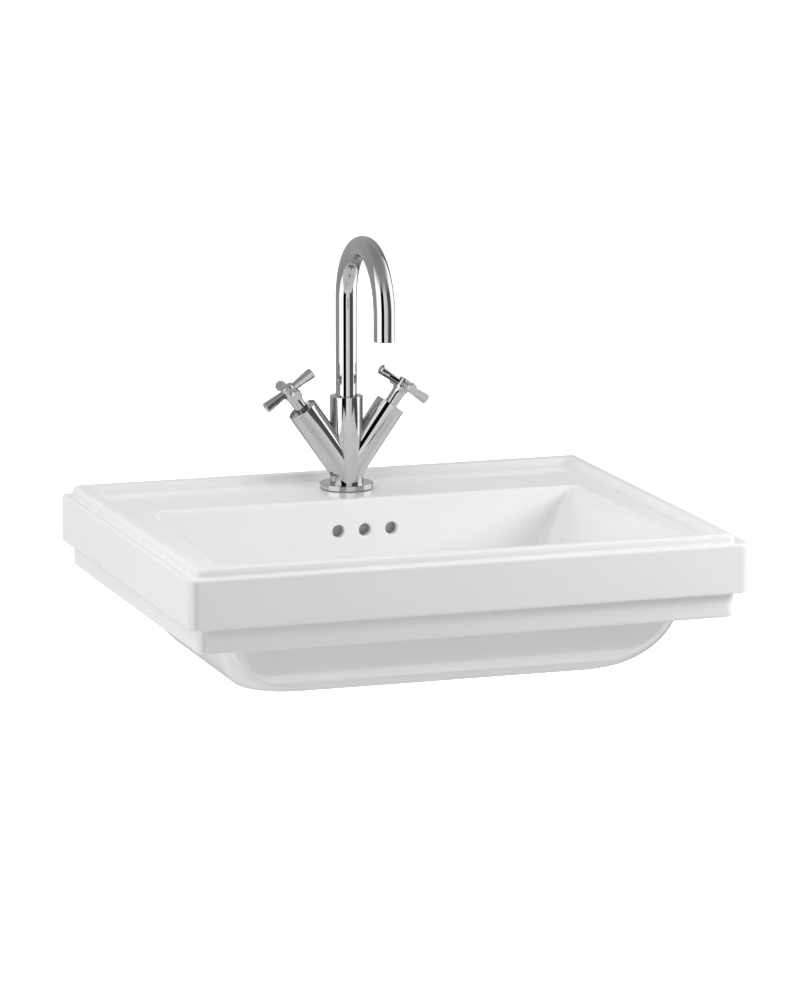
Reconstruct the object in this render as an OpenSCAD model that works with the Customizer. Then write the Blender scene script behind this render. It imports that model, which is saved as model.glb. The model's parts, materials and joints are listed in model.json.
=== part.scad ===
// Rectangular ceramic washbasin with a two-handle swan-neck mixer tap and a click waste.
// Millimetres. +X is the user's right, +Y points into the wall and +Z is up.
// The origin is midway between the two wall-bolt holes, on the basin's back face.

/* [Basin] */
// Overall width
basin_w = 580; // [560:2:620]
// Overall depth from the wall to the front
basin_d = 470; // [450:2:500]
// Height of the upper band
band_h = 50; // [46:1:54]
// Height of the set-back step under the band
step_h = 26; // [22:1:30]
// How far the step is set back from the band, at the sides and the front
step_inset = 12; // [8:1:14]
// Height of the raised rim above the deck
rim_h = 8; // [6:0.5:9]
// Flat width of the raised rim's top
rim_w = 12; // [10:0.5:14]
// How far the raised rim is set in from the band
rim_inset = 11.5; // [10:0.5:13]
// Radius of the hollow curve between the rim and the deck
cove_r = 11; // [10:0.5:13]

/* [Bowl] */
// Width of the bowl's opening at its back edge
mouth_back_w = 462; // [450:2:464]
// Width of the bowl's opening at its front edge
mouth_front_w = 473; // [464:1:474]
// Distance from the wall to the bowl's back edge
shelf_d = 124; // [122:1:126]
// Distance from the bowl's front edge to the front of the basin
front_ledge = 64; // [62:1:70]
// Depth of the bowl below the deck
bowl_depth = 128; // [124:1:128]
// Diameter of each overflow hole
overflow_d = 12.7; // [10:0.1:13]
// Distance between neighbouring overflow holes
overflow_pitch = 28.7; // [26:0.1:30]

/* [Wall fixing] */
// Distance between the two wall-bolt holes
bolt_spacing = 280; // [200:10:320]
// Diameter of the wall-bolt holes
bolt_hole_d = 14; // [12:0.5:16]
// Depth of the bolt centres below the deck
bolt_drop = 85; // [84:1:90]

/* [Tap] */
// Distance from the wall to the tap's axis
tap_back = 62; // [60:0.5:66]
// Diameter of the hole for the tap
tap_hole_d = 35; // [34:0.5:36]
// Diameter of the tap's column
column_d = 34.5; // [34:0.5:37]
// Height of the column's top above the deck
column_h = 98; // [94:1:102]
// Diameter of the two valve arms
arm_d = 32; // [31:0.5:33]
// Length of each valve arm from the column's axis
arm_len = 84.5; // [84:0.5:88]
// Lean of each valve arm away from upright, in degrees
arm_lean = 35; // [34:0.5:38]
// Outside diameter of the spout tube
spout_d = 22.3; // [22:0.1:22.5]
// Reach of the spout from the column's axis to the outlet's axis
spout_reach = 126; // [110:1:130]
// Height of the spout's spring line above the deck
spring_h = 199; // [190:1:220]
// Straight length of the spout below the spring line, down to the outlet
outlet_drop = 25.5; // [22:0.5:34]
// How far the spout swivels each way
swivel = 60; // [30:5:70]

/* [Handles] */
// Distance across a cross handle, tip to tip
cross_span = 62; // [58:1:64]
// Thickness of a spoke at its tip, across flats
spoke_tip = 11; // [9:0.5:12]
// Thickness of a spoke at the hub, across flats
spoke_root = 6.5; // [5.5:0.5:8]
// Diameter of the neck between arm and cross
neck_d = 13.8; // [13:0.2:14]
// Distance from the arm's end to the middle of the cross
cross_gap = 24.5; // [23:0.5:27]

/* [Waste] */
// Distance from the wall to the waste's axis
waste_back = 215; // [210:1:225]
// Outside diameter of the waste tail
tail_d = 41.9; // [41:0.1:42]
// Diameter of the waste flange
waste_flange_d = 64; // [62:0.5:66]
// Length of the waste from its flange to the end of its tail
waste_len = 43.5; // [41:0.5:43.5]
// Travel of the click plug
plug_travel = 8; // [6:0.5:8]

/* [Hidden] */

$fn = 64;
cut = 1;
left = -1;
right = 1;

// Heights of the basin's levels in the part's frame
deck_z = bolt_drop;
rim_z = deck_z + rim_h;
band_z = deck_z - band_h;
step_z = band_z - step_h;
floor_z = deck_z - bowl_depth;
tub_wall = 12;
tub_z = floor_z - tub_wall;
boss_z = tub_z - 7;

// Casting walls
skin = 11;
deck_t = 12;
back_t = 12;
corner_r = 12;
edge_r = 3;
panel_half_w = 212;
panel_z = -38;

// Overflow duct behind the bowl's back wall and under its floor
overflow_z = deck_z - 33;
duct_half_w = 42;
duct_gap = 10;
duct_skin = 8;
duct_y = -(shelf_d - duct_skin);
bay_y = duct_y + duct_gap + duct_skin;
duct_roof_z = floor_z - 7;
duct_floor_z = duct_roof_z - 6;
boss_half_w = 50;

// Tub and bowl outlines: curve exponents, end sizes
tub_top_half_w = 240;
tub_foot_half_w = 192;
tub_top_front = basin_d - 57;
tub_foot_front = basin_d - 103;
tub_back = shelf_d - 14;
tub_curve = 1.6;
bowl_foot_back_half_w = 186;
bowl_foot_front_half_w = 196;
bowl_foot_front = basin_d - 100;
bowl_foot_back = shelf_d + 16;
bowl_curve = 2.1;
loft_levels = 8;
arc_steps = 8;

// Tap levels, all measured from the deck
gasket_t = 0.8;
foot_z = deck_z + gasket_t;
flange_t = 5.5;
flange_d = 56;
arm_root_z = deck_z + 17;
column_z = deck_z + column_h;
spring_z = deck_z + spring_h;
outlet_z = spring_z - outlet_drop;
arc_r = spout_reach / 2;
tap_y = -tap_back;
outlet_y = tap_y - spout_reach;

// Spout seat in the column
run_gap = 0.05;
spout_r = spout_d / 2;
spout_bore_r = 9.2;
spout_foot_bore_r = 8;
spout_foot_z = deck_z + 62;
spout_thick_z = deck_z + 100;
seat_z = deck_z + 58;
lip_t = 5;
bush_r = 13.5;
bush_z = deck_z + 74;
o_ring_zs = [deck_z + 66, deck_z + 70.5];
o_ring_h = 2.4;
stop_z = deck_z + 84;
stop_r = 2.5;
stop_tip_r = 2;
stop_groove_r = 9.8;
stop_slack_deg = 1.6;

// Water ways in the tap body
mixing_r = 7;
mixing_z = deck_z + 34;
inlet_x = 7.5;
inlet_y = tap_y + 4;
inlet_r = 4.6;
inlet_len = 12;
stud_r = 4;
stud_y = tap_y - 9.5;
stud_grip = 12;
stud_below = 40;
feed_r = 3;
feed_offset = 7;

// Valve parts, measured along the arm from the column's axis
cavity_s = 44;
cavity_r = 12.3;
recess_s = arm_len - 2;
recess_r = 14.3;
seal_t = 2;
disc_r = 9;
disc_t = 2.4;
disc_gap = 0.1;
fixed_disc_s = cavity_s + seal_t + 0.5;
moving_disc_s = fixed_disc_s + disc_t + disc_gap;
carrier_s = moving_disc_s + disc_t;
carrier_t = 2.2;
carrier_r = 8.5;
chamber_r = 9.2;
chamber_end_s = carrier_s + carrier_t + 0.4;
cartridge_end_s = recess_s - 5;
spindle_r = 3.5;
spindle_top_s = arm_len + cross_gap - 1.5;
spline_len = 10;
spline_teeth = 18;
bonnet_t = 4;
neck_s = recess_s + 0.4;
cross_s = arm_len + cross_gap;
hub_r = 7.2;
hub_half_h = 5.6;
screw_r = 2;
screw_head_r = 3.4;
screw_head_t = 2.4;
cap_r = 5.4;
cap_t = 1.6;

// Clamp under the deck
under_deck_z = deck_z - deck_t;
clamp_r = 23;
clamp_gasket_t = 3;
clamp_plate_t = 2.5;
nut_flats = 13;
nut_h = 8;

// Waste, from the flange's top down
waste_y = -waste_back;
waste_hole_r = 23;
waste_recess_r = 33.5;
waste_recess_d = 4;
waste_bore_r = 17.5;
tail_r = tail_d / 2;
flange_seal_t = 1.2;
tail_z = floor_z - waste_len;
bottom_seal_t = 3;
slip_washer_t = 2;
backnut_h = 5;
backnut_collar_h = 1.5;
slip_washer_z = boss_z - bottom_seal_t - slip_washer_t;
nut_z = slip_washer_z - backnut_h - backnut_collar_h;
relief_h = 1.5;
spider_z = floor_z - 28;
spider_h = 6;
guide_top_z = floor_z - 13;
guide_r = 6.5;
guide_stub_r = 5;
stem_r = 3;
plug_gap = 0.3;
plug_z = floor_z + plug_gap + plug_travel;
plug_t = 4.5;
spigot_r = 15.8;
spigot_h = 6;
plug_ring_r = 17.2;
spring_turns = 5;
spring_wire_d = 1.1;
spring_r = 4.6;
spring_rings = 14;
spring_sides = 6;

ceramic_colour = "white";
chrome_colour = "silver";
brass_colour = "goldenrod";
rubber_colour = "dimgray";
plastic_colour = "gainsboro";
disc_colour = "lightgray";

// ---- shared shapes ----

// A rectangle with its back edge on y = 0 and its two front corners rounded
module plan(w, d, r) {
    translate([-w / 2 + r, -d]) square([w - 2 * r, d]);
    translate([-w / 2, -d + r]) square([w, d - r]);
    for (side = [left, right])
        translate([side * (w / 2 - r), -d + r]) circle(r);
}

// One rounded four-cornered ring of points; it may be wider at the front than at the back
function ring(back_hw, front_hw, back, front, r, z) =
    let (corners = [[front_hw - r, r - front, 270], [back_hw - r, -back - r, 0],
                    [r - back_hw, -back - r, 90], [r - front_hw, r - front, 180]])
    [for (c = corners) for (i = [0:arc_steps])
        let (a = c[2] + 90 * i / arc_steps) [c[0] + r * cos(a), c[1] + r * sin(a), z]];

// A closed solid through a list of rings, lowest first
module loft(rings) {
    n = len(rings[0]);
    sides = [for (j = [0:len(rings) - 2]) for (k = [0:n - 1])
        let (a = j * n + k, b = j * n + (k + 1) % n)
        each [[a, a + n, b + n], [a, b + n, b]]];
    foot = [for (k = [0:n - 1]) k];
    head = [for (k = [n - 1:-1:0]) (len(rings) - 1) * n + k];
    polyhedron([for (r = rings) each r], concat(sides, [foot, head]), convexity = 4);
}

// Fractions of width (x) and of depth (y) along a superellipse, from the foot (t = 0) upwards
function curve(t, n) = [pow(sin(90 * t), 2 / n), pow(cos(90 * t), 2 / n)];

function mix(from, to, share) = from + (to - from) * share;

module tube(r_out, r_in, h) {
    difference() {
        cylinder(r = r_out, h = h);
        translate([0, 0, -cut]) cylinder(r = r_in, h = h + 2 * cut);
    }
}

// Places its children along a valve arm: z runs outwards from the column's axis
module on_arm(side, s = 0) {
    translate([0, tap_y, arm_root_z]) rotate([0, side * arm_lean, 0]) translate([0, 0, s]) children();
}

// ---- basin ----

module tub() {
    loft([for (j = [0:loft_levels])
        let (c = curve(j / loft_levels, tub_curve), hw = mix(tub_foot_half_w, tub_top_half_w, c[0]))
        ring(hw, hw, mix(tub_back + 15, tub_back, c[0]), mix(tub_foot_front, tub_top_front, c[0]),
             mix(47, 20, c[0]), mix(step_z + cut, tub_z, c[1]))]);
}

module bowl() {
    mouth_back = mouth_back_w / 2;
    mouth_front = mouth_front_w / 2;
    front = basin_d - front_ledge;
    rings = [for (j = [0:loft_levels])
        let (c = curve(j / loft_levels, bowl_curve))
        ring(mix(mouth_back, bowl_foot_back_half_w, pow(c[1], 0.75)),
             mix(bowl_foot_front_half_w, mouth_front, c[0]),
             mix(bowl_foot_back, shelf_d, c[0]), mix(bowl_foot_front, front, c[0]),
             mix(10, 60, c[1]), mix(deck_z, floor_z, c[1]))];
    loft(concat(rings, [ring(mouth_back, mouth_front, shelf_d, front, 10, rim_z + cut)]));
}

// The raised rim: a frame with a hollow curve down to the deck on its inner side
module rim_profile(width) {
    difference() {
        square([width + cove_r, rim_h]);
        translate([width + cove_r, cove_r]) circle(cove_r);
        difference() {
            square([edge_r, rim_h]);
            square([edge_r, rim_h - edge_r]);
            translate([edge_r, rim_h - edge_r]) circle(edge_r);
        }
    }
}

module rim_side(len, width) {
    rotate([90, 0, 0]) linear_extrude(len) rim_profile(width);
}

module rim() {
    half_w = basin_w / 2 - rim_inset;
    front = basin_d - rim_inset;
    intersection() {
        translate([0, 0, deck_z]) linear_extrude(rim_h) plan(2 * half_w, front, corner_r - edge_r);
        union() {
            translate([-half_w, 0, deck_z]) rim_side(front, rim_w);
            translate([half_w, 0, deck_z]) mirror([1, 0, 0]) rim_side(front, rim_w);
            translate([-half_w, -front, deck_z]) mirror([1, -1, 0]) mirror([0, 1, 0])
                rim_side(2 * half_w, rim_w);
            translate([-half_w, 0, deck_z]) rotate([0, 0, -90]) rim_side_back(2 * half_w);
        }
    }
}

// The back run of the rim stands straight up against the wall
module rim_side_back(len) {
    mirror([0, 1, 0]) rotate([90, 0, 0]) linear_extrude(len) difference() {
        square([rim_w + cove_r, rim_h]);
        translate([rim_w + cove_r, cove_r]) circle(cove_r);
    }
}

// Cast hollows inside the sides and the front, joined to the bay behind the bowl
module hollows() {
    low = step_z + skin;
    high = deck_z - deck_t;
    outer = basin_w / 2 - step_inset - skin;
    side_in = mouth_front_w / 2 + skin;
    front_out = basin_d - step_inset - skin;
    front_in = basin_d - front_ledge + skin;
    for (side = [left, right])
        translate([side * (outer + side_in) / 2 - (outer - side_in) / 2, -front_out, low])
            cube([outer - side_in, front_out - back_t, high - low]);
    translate([-outer, -front_out, low]) cube([2 * outer, front_out - front_in, high - low]);
    translate([-outer, bay_y, low]) cube([2 * outer, -bay_y - back_t, high - low]);
}

// The space under the shelf where the tap is fastened, open below
module bay() {
    half_w = panel_half_w - skin;
    translate([-half_w, bay_y, panel_z - cut])
        cube([2 * half_w, -bay_y - back_t, under_deck_z - panel_z + cut]);
}

// The upright part of the overflow duct's casing
module spine() {
    translate([-boss_half_w, duct_y, boss_z])
        cube([2 * boss_half_w, duct_gap + duct_skin, under_deck_z - boss_z + cut]);
}

// The double floor round the waste, and the duct's casing under the bowl
module waste_boss() {
    translate([0, waste_y, boss_z]) cylinder(r = boss_half_w, h = floor_z - boss_z - cut);
    translate([-boss_half_w, waste_y, boss_z])
        cube([2 * boss_half_w, duct_y - waste_y + duct_gap, tub_z - boss_z + 2]);
}

module overflow() {
    for (i = [-1:1])
        translate([i * overflow_pitch, duct_y + cut, overflow_z]) rotate([90, 0, 0])
            cylinder(d = overflow_d, h = duct_skin + 3 * cut);
    translate([-duct_half_w, duct_y, duct_floor_z])
        cube([2 * duct_half_w, duct_gap, overflow_z + overflow_d - duct_floor_z]);
    translate([-duct_half_w, waste_y, duct_floor_z])
        cube([2 * duct_half_w, duct_y - waste_y + cut, duct_roof_z - duct_floor_z]);
}

module basin() {
    color(ceramic_colour) difference() {
        union() {
            translate([0, 0, band_z]) linear_extrude(band_h) plan(basin_w, basin_d, corner_r);
            translate([0, 0, step_z]) linear_extrude(step_h + cut)
                plan(basin_w - 2 * step_inset, basin_d - step_inset, corner_r - 2);
            rim();
            tub();
            translate([-panel_half_w, -tub_back - cut, panel_z])
                cube([2 * panel_half_w, tub_back + cut, step_z - panel_z + cut]);
            spine();
            waste_boss();
        }
        bowl();
        hollows();
        bay();
        overflow();
        for (side = [left, right])
            translate([side * bolt_spacing / 2, cut, 0]) rotate([90, 0, 0])
                cylinder(d = bolt_hole_d, h = back_t + 2 * cut);
        translate([0, tap_y, under_deck_z - cut]) cylinder(d = tap_hole_d, h = deck_t + 2 * cut);
        translate([0, waste_y, boss_z - cut]) cylinder(r = waste_hole_r, h = floor_z - boss_z + 2 * cut);
        translate([0, waste_y, floor_z - waste_recess_d]) cylinder(r = waste_recess_r, h = 2 * waste_recess_d);
    }
}

// ---- tap body ----

// A drilled water way between two points given as [x, z] in the tap's upright plane
module way(from, to, r) {
    run = to - from;
    translate([from[0], tap_y, from[1]]) rotate([0, atan2(run[0], run[1]), 0]) cylinder(r = r, h = norm(run));
}

// A point on an arm: s along it from the column's axis, and offset to the arm's lower side
function arm_point(side, s, offset) =
    [side * (s * sin(arm_lean) + offset * cos(arm_lean)),
     arm_root_z + s * cos(arm_lean) - offset * sin(arm_lean)];

module tap_body() {
    color(chrome_colour) difference() {
        union() {
            translate([0, tap_y, foot_z]) cylinder(d = column_d, h = column_z - foot_z - 1);
            translate([0, tap_y, column_z - 1]) cylinder(d1 = column_d, d2 = column_d - 1.4, h = 1);
            for (side = [left, right])
                on_arm(side) cylinder(d = arm_d, h = arm_len);
        }
        translate([0, tap_y, seat_z]) cylinder(r = spout_r + run_gap, h = column_z - seat_z + cut);
        translate([0, tap_y, bush_z]) cylinder(r = bush_r, h = column_z - lip_t - bush_z);
        for (z = o_ring_zs)
            translate([0, tap_y, z]) cylinder(r = bush_r, h = o_ring_h);
        translate([0, tap_y, mixing_z]) cylinder(r = mixing_r, h = seat_z - mixing_z + cut);
        translate([0, tap_y, stop_z]) rotate([-90, 0, 0]) cylinder(r = stop_r, h = column_d);
        translate([0, stud_y, foot_z - cut]) cylinder(r = stud_r, h = stud_grip + cut);
        for (side = [left, right]) {
            on_arm(side, cavity_s) cylinder(r = cavity_r, h = arm_len - cavity_s + cut);
            on_arm(side, recess_s - bonnet_t) cylinder(r = recess_r, h = bonnet_t + arm_len - recess_s + cut);
            translate([side * inlet_x, inlet_y, foot_z - cut]) cylinder(r = inlet_r, h = inlet_len + cut);
            way([side * inlet_x, foot_z + inlet_len - 2], arm_point(side, cavity_s + 1, feed_offset), feed_r);
            way([0, mixing_z + mixing_r], arm_point(side, cavity_s + 1, -feed_offset), feed_r);
        }
    }
}

module base_flange() {
    color(chrome_colour) translate([0, tap_y, foot_z]) difference() {
        union() {
            cylinder(d = flange_d, h = flange_t - 1);
            translate([0, 0, flange_t - 1]) cylinder(d1 = flange_d, d2 = flange_d - 2, h = 1);
        }
        translate([0, 0, -cut]) cylinder(d = column_d, h = flange_t + 2 * cut);
    }
}

module base_gasket() {
    color(rubber_colour) translate([0, tap_y, deck_z]) tube(flange_d / 2 - 1.5, tap_hole_d / 2 - 1.5, gasket_t);
}

// ---- spout ----

module spout_tube(r) {
    translate([0, tap_y, spout_foot_z]) cylinder(r = r, h = spring_z - spout_foot_z);
    translate([0, tap_y - arc_r, spring_z]) rotate([90, 0, 90]) rotate_extrude(angle = 180)
        translate([arc_r, 0]) circle(r);
    translate([0, outlet_y, outlet_z]) cylinder(r = r, h = outlet_drop);
}

module spout() {
    groove_deg = 2 * (swivel + asin(stop_tip_r / spout_r) + stop_slack_deg);
    color(chrome_colour) difference() {
        spout_tube(spout_r);
        difference() {
            union() {
                spout_tube(spout_bore_r);
                translate([0, outlet_y, outlet_z - cut]) cylinder(r = spout_bore_r, h = 2 * cut);
            }
            translate([0, tap_y, spout_foot_z - cut]) cylinder(r = spout_r, h = spout_thick_z - spout_foot_z);
        }
        translate([0, tap_y, spout_foot_z - cut])
            cylinder(r = spout_foot_bore_r, h = spout_thick_z - spout_foot_z + 2 * cut);
        translate([0, tap_y, stop_z - stop_tip_r - 0.4]) rotate([0, 0, 90 - groove_deg / 2])
            rotate_extrude(angle = groove_deg)
                translate([stop_groove_r, 0]) square([spout_r, 2 * stop_tip_r + 0.8]);
    }
}

module spout_bush() {
    color(plastic_colour) difference() {
        translate([0, tap_y, bush_z]) tube(bush_r, spout_r + run_gap, column_z - lip_t - bush_z);
        translate([0, tap_y, stop_z]) rotate([-90, 0, 0]) cylinder(r = stop_r, h = column_d);
    }
}

module spout_o_rings() {
    color(rubber_colour)
        for (z = o_ring_zs)
            translate([0, tap_y, z]) tube(bush_r, spout_r + 2 * run_gap, o_ring_h);
}

module spout_stop_screw() {
    screw_end = column_d / 2 - 0.6;
    color("gray") translate([0, tap_y, stop_z]) rotate([-90, 0, 0]) difference() {
        union() {
            translate([0, 0, spout_r + 0.4]) cylinder(r = stop_r, h = screw_end - spout_r - 0.4);
            translate([0, 0, stop_groove_r + 0.3]) cylinder(r = stop_tip_r, h = 3);
        }
        translate([0, 0, screw_end - 2]) cylinder(d = 2.9, h = 2 + cut, $fn = 6);
    }
}

module aerator_housing() {
    color(plastic_colour) translate([0, outlet_y, outlet_z + 0.6]) tube(spout_bore_r, 7.6, 12);
}

module aerator_screen() {
    color("lightgray") translate([0, outlet_y, outlet_z + 2]) difference() {
        cylinder(r = 7.6, h = 2);
        for (ring_r = [2.3, 4.4, 6.4])
            for (a = [0:360 / round(ring_r * 2.6):359])
                rotate([0, 0, a]) translate([ring_r, 0, -cut]) cylinder(r = 0.7, h = 2 + 2 * cut, $fn = 16);
    }
}

module aerator_washer() {
    color(rubber_colour) translate([0, outlet_y, outlet_z + 12.6]) tube(spout_bore_r, 6.5, 1.8);
}

// ---- valves, one in each arm ----

module cartridge_body(side) {
    color(brass_colour) on_arm(side) difference() {
        union() {
            translate([0, 0, cavity_s + seal_t]) cylinder(r = cavity_r, h = 24);
            translate([0, 0, cavity_s + seal_t + 24]) cylinder(r = 9, h = cartridge_end_s - cavity_s - seal_t - 24);
        }
        translate([0, 0, cavity_s]) cylinder(r = chamber_r, h = chamber_end_s - cavity_s);
        translate([0, 0, cavity_s]) cylinder(r = spindle_r + run_gap, h = arm_len);
        translate([-arm_d, -3, carrier_s + 0.2]) cube([2 * arm_d, 6, carrier_t]);
    }
}

module cartridge_seal(side) {
    color(rubber_colour) on_arm(side, cavity_s) tube(11, 7.5, seal_t);
}

// A ceramic disc with two bow-tie ports
module ported_disc(turn) {
    difference() {
        cylinder(r = disc_r, h = disc_t);
        for (a = [0, 180])
            rotate([0, 0, a + turn]) translate([4.8, 0, -cut]) cylinder(r = 2.6, h = disc_t + 2 * cut);
    }
}

module fixed_disc(side) {
    color(disc_colour) on_arm(side, fixed_disc_s) ported_disc(0);
}

module moving_disc(side) {
    color(disc_colour) on_arm(side, moving_disc_s) ported_disc(90);
}

module spline(r, h) {
    step = 180 / spline_teeth;
    linear_extrude(h) polygon([for (i = [0:2 * spline_teeth - 1])
        let (tooth_r = i % 2 == 0 ? r : r - 0.45) [tooth_r * cos(i * step), tooth_r * sin(i * step)]]);
}

module spindle(side) {
    color(brass_colour) on_arm(side) difference() {
        union() {
            translate([0, 0, carrier_s]) cylinder(r = carrier_r, h = carrier_t);
            translate([0, 0, carrier_s]) cylinder(r = spindle_r, h = spindle_top_s - spline_len - carrier_s);
            translate([0, 0, spindle_top_s - spline_len]) spline(spindle_r - 0.2, spline_len);
        }
        translate([0, 0, chamber_end_s + 8]) tube(spindle_r + cut, spindle_r - 0.9, 1.8);
        translate([0, 0, spindle_top_s - 9]) cylinder(r = screw_r, h = 9 + cut);
    }
}

module spindle_o_ring(side) {
    color(rubber_colour) on_arm(side, chamber_end_s + 8) tube(spindle_r, spindle_r - 0.9, 1.8);
}

module bonnet(side) {
    color(chrome_colour) on_arm(side, recess_s - bonnet_t) tube(recess_r, spindle_r + 1.5, bonnet_t);
}

module handle_neck(side) {
    color(chrome_colour) on_arm(side, neck_s) difference() {
        cylinder(d = neck_d, h = cross_s - hub_half_h - neck_s);
        translate([0, 0, -cut]) cylinder(r = spindle_r + 0.2, h = cross_gap);
    }
}

module spoke() {
    root_r = spoke_root / 2 / cos(22.5);
    tip_r = spoke_tip / 2 / cos(22.5);
    chamfer = 1.3;
    length = cross_span / 2 - chamfer;
    rotate([0, 90, 0]) rotate([0, 0, 22.5]) {
        cylinder(r1 = root_r, r2 = tip_r, h = length, $fn = 8);
        translate([0, 0, length]) cylinder(r1 = tip_r, r2 = tip_r - chamfer, h = chamfer, $fn = 8);
    }
}

module cross_handle(side) {
    color(chrome_colour) on_arm(side, cross_s) difference() {
        union() {
            translate([0, 0, -hub_half_h]) cylinder(r = hub_r, h = 2 * hub_half_h - 0.8);
            translate([0, 0, hub_half_h - 0.8]) cylinder(r1 = hub_r, r2 = hub_r - 0.8, h = 0.8);
            for (a = [0:90:270])
                rotate([0, 0, a]) spoke();
        }
        translate([0, 0, -hub_half_h - cut]) spline(spindle_r + 0.1, hub_half_h);
        translate([0, 0, -cut]) cylinder(r = screw_r + 0.3, h = 4 * cut);
        translate([0, 0, hub_half_h - cap_t - screw_head_t - 0.4])
            cylinder(r = screw_head_r + 0.2, h = screw_head_t + cut);
        translate([0, 0, hub_half_h - cap_t]) cylinder(r = cap_r, h = cap_t + cut);
    }
}

module handle_screw(side) {
    head_z = hub_half_h - cap_t - screw_head_t - 0.4;
    length = cross_s + head_z - (spindle_top_s - 8);
    color("gray") on_arm(side, cross_s + head_z) difference() {
        union() {
            cylinder(r = screw_head_r, h = screw_head_t);
            translate([0, 0, -length]) cylinder(r = screw_r, h = length + cut);
        }
        translate([0, 0, screw_head_t - 1.6]) cylinder(d = 2.9, h = 2, $fn = 6);
    }
}

module index_cap(side) {
    color(chrome_colour) on_arm(side, cross_s + hub_half_h - cap_t) {
        cylinder(r = cap_r, h = cap_t - 0.3);
        translate([0, 0, cap_t - 0.3]) cylinder(r1 = cap_r, r2 = cap_r - 1.2, h = 0.9);
    }
}

// ---- clamp under the deck ----

module mounting_stud() {
    color("gray") translate([0, stud_y, under_deck_z - stud_below])
        cylinder(r = stud_r, h = stud_below + foot_z + stud_grip - under_deck_z);
}

// A disc open at the back for the tap's two water tails
module horseshoe(h) {
    difference() {
        cylinder(r = clamp_r, h = h);
        translate([0, 4, -cut]) cylinder(r = 12.5, h = h + 2 * cut);
        translate([-12.5, 4, -cut]) cube([25, clamp_r, h + 2 * cut]);
        translate([0, stud_y - tap_y, -cut]) cylinder(r = stud_r + 0.3, h = h + 2 * cut);
    }
}

module clamp_gasket() {
    color(rubber_colour) translate([0, tap_y, under_deck_z - clamp_gasket_t]) horseshoe(clamp_gasket_t);
}

module clamp_plate() {
    color("silver") translate([0, tap_y, under_deck_z - clamp_gasket_t - clamp_plate_t]) horseshoe(clamp_plate_t);
}

module stud_nut() {
    top = under_deck_z - clamp_gasket_t - clamp_plate_t;
    color(brass_colour) translate([0, stud_y, top - nut_h]) difference() {
        cylinder(r = nut_flats / 2 / cos(30), h = nut_h, $fn = 6);
        translate([0, 0, -cut]) cylinder(r = stud_r, h = nut_h + 2 * cut);
    }
}

// ---- waste ----

// The flange, the threaded tail and a relief groove between the backnut's thread and the trap's
module waste_body() {
    flange_z = floor_z - waste_recess_d + flange_seal_t;
    color(chrome_colour) translate([0, waste_y, 0]) difference() {
        union() {
            translate([0, 0, flange_z]) cylinder(d = waste_flange_d, h = floor_z - flange_z);
            translate([0, 0, tail_z]) cylinder(r = tail_r, h = floor_z - tail_z);
        }
        difference() {
            translate([0, 0, tail_z - cut]) cylinder(r = waste_bore_r, h = waste_len + 2 * cut);
            translate([-waste_bore_r - cut, -3, spider_z]) cube([2 * waste_bore_r + 2 * cut, 6, spider_h]);
            translate([0, 0, spider_z]) cylinder(r = guide_stub_r + 2.5, h = spider_h);
        }
        translate([0, 0, spider_z - cut]) cylinder(r = guide_stub_r, h = spider_h + 2 * cut);
        translate([-7, -2 * tail_r, duct_floor_z + 0.5]) cube([14, 4 * tail_r, 5]);
        translate([0, 0, nut_z - relief_h]) tube(tail_r + cut, tail_r - 1, relief_h);
    }
}

module waste_top_seal() {
    color(rubber_colour) translate([0, waste_y, floor_z - waste_recess_d])
        tube(waste_flange_d / 2 - 0.5, tail_r, flange_seal_t);
}

module waste_bottom_seal() {
    color(rubber_colour) translate([0, waste_y, boss_z - bottom_seal_t]) tube(31, tail_r, bottom_seal_t);
}

module waste_slip_washer() {
    color(plastic_colour) translate([0, waste_y, slip_washer_z]) tube(31, tail_r, slip_washer_t);
}

module waste_backnut() {
    color(brass_colour) translate([0, waste_y, nut_z]) difference() {
        union() {
            cylinder(r = 29, h = backnut_h, $fn = 6);
            translate([0, 0, backnut_h]) cylinder(r = 28, h = backnut_collar_h);
        }
        translate([0, 0, -cut]) cylinder(r = tail_r, h = backnut_h + backnut_collar_h + 2 * cut);
    }
}

module click_guide() {
    color(plastic_colour) translate([0, waste_y, 0]) difference() {
        union() {
            translate([0, 0, spider_z + spider_h]) cylinder(r = guide_r, h = guide_top_z - spider_z - spider_h);
            translate([0, 0, spider_z]) cylinder(r = guide_stub_r, h = spider_h);
        }
        translate([0, 0, spider_z - cut]) cylinder(r = stem_r + run_gap, h = guide_top_z - spider_z + 2 * cut);
    }
}

// A closed coil round the plug's stem, swept along a helix
module plug_spring() {
    height = plug_z - spigot_h - guide_top_z - spring_wire_d - 0.2;
    rings = spring_turns * spring_rings;
    points = [for (j = [0:rings]) for (i = [0:spring_sides - 1])
        let (a = 360 * j / spring_rings, b = 360 * i / spring_sides,
             r = spring_r + spring_wire_d / 2 * cos(b))
        [r * cos(a), r * sin(a), height * j / rings + spring_wire_d / 2 * sin(b)]];
    sides = [for (j = [0:rings - 1]) for (i = [0:spring_sides - 1])
        let (k = (i + 1) % spring_sides, a = j * spring_sides)
        each [[a + i, a + i + spring_sides, a + k], [a + k, a + i + spring_sides, a + k + spring_sides]]];
    start = [for (i = [0:spring_sides - 1]) i];
    finish = [for (i = [spring_sides - 1:-1:0]) rings * spring_sides + i];
    color("lightgray") translate([0, waste_y, guide_top_z + spring_wire_d / 2 + 0.1])
        polyhedron(points, concat(sides, [start, finish]), convexity = 10);
}

module plug_stem() {
    color(chrome_colour) translate([0, waste_y, plug_z - spigot_h - 20]) cylinder(r = stem_r, h = 20 + 3);
}

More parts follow.
